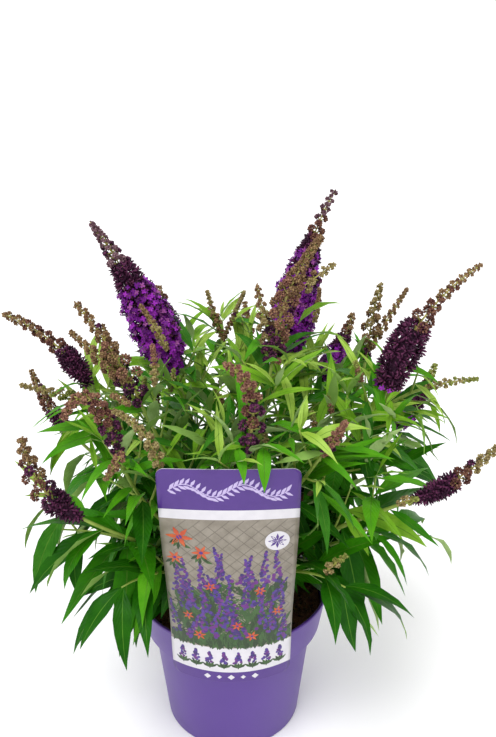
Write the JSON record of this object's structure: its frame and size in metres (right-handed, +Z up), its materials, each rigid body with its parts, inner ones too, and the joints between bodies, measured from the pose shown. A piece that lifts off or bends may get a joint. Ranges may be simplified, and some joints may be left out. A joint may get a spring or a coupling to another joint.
{
  "type": "potted butterfly bush",
  "caption": "Compact butterfly bush with tapering purple flower spikes and lance-shaped leaves, standing in a round purple nursery pot with a tall hang-on plant label.",
  "frame": {"origin": "centre of the pot's flat underside", "axes": "+Z up along the pot's axis; -Y towards the side that the plant label stands on; +X to the right as the label is looked at"},
  "size_m": [0.4332, 0.3746, 0.5293],
  "materials": {
    "pot": "satin",
    "potting_mix": "matte",
    "label": "satin",
    "bark": "matte",
    "foliage": "satin"
  },
  "bodies": {
    "root": {"pot": "pot", "potting_mix": "potting_mix", "plant_label": "label", "stem": "bark", "bough_left_plume": "bark", "bough_back_plume": "bark", "bough_centre_spires": "bark", "bough_right_spire": "bark", "bough_right_back_spires": "bark", "bough_right_bud": "bark", "bough_right_low_spire": "bark", "bough_far_left_spire": "bark", "bough_left_buds": "bark", "bough_left_front_arch": "bark", "bough_left_low_spire": "bark", "bough_front_spire": "bark", "bough_top_buds": "bark", "bough_right_front_bud": "bark", "bough_back_left_plume": "bark", "bough_back_left_spire": "bark", "bough_back_right_spire": "bark", "bough_back_centre_spire": "bark", "bough_far_left_back_spire": "bark", "bough_far_right_back_spire": "bark", "bough_front_left_skirt": "bark", "bough_front_right_skirt": "bark", "bough_right_skirt": "bark", "bough_left_skirt": "bark", "bough_back_left_skirt": "bark", "bough_back_right_skirt": "bark", "bough_back_skirt": "bark", "mass_left_plume": "foliage", "mass_back_plume": "foliage", "mass_centre_spires": "foliage", "mass_right_spire": "foliage", "mass_right_back_spires": "foliage", "mass_right_bud": "foliage", "mass_right_low_spire": "foliage", "mass_far_left_spire": "foliage", "mass_left_buds": "foliage", "mass_left_front_arch": "foliage", "mass_left_low_spire": "foliage", "mass_front_spire": "foliage", "mass_top_buds": "foliage", "mass_right_front_bud": "foliage", "mass_back_left_plume": "foliage", "mass_back_left_spire": "foliage", "mass_back_right_spire": "foliage", "mass_back_centre_spire": "foliage", "mass_far_left_back_spire": "foliage", "mass_far_right_back_spire": "foliage", "mass_front_left_skirt": "foliage", "mass_front_right_skirt": "foliage", "mass_right_skirt": "foliage", "mass_left_skirt": "foliage", "mass_back_left_skirt": "foliage", "mass_back_right_skirt": "foliage", "mass_back_skirt": "foliage"}
  },
  "joints": []
}
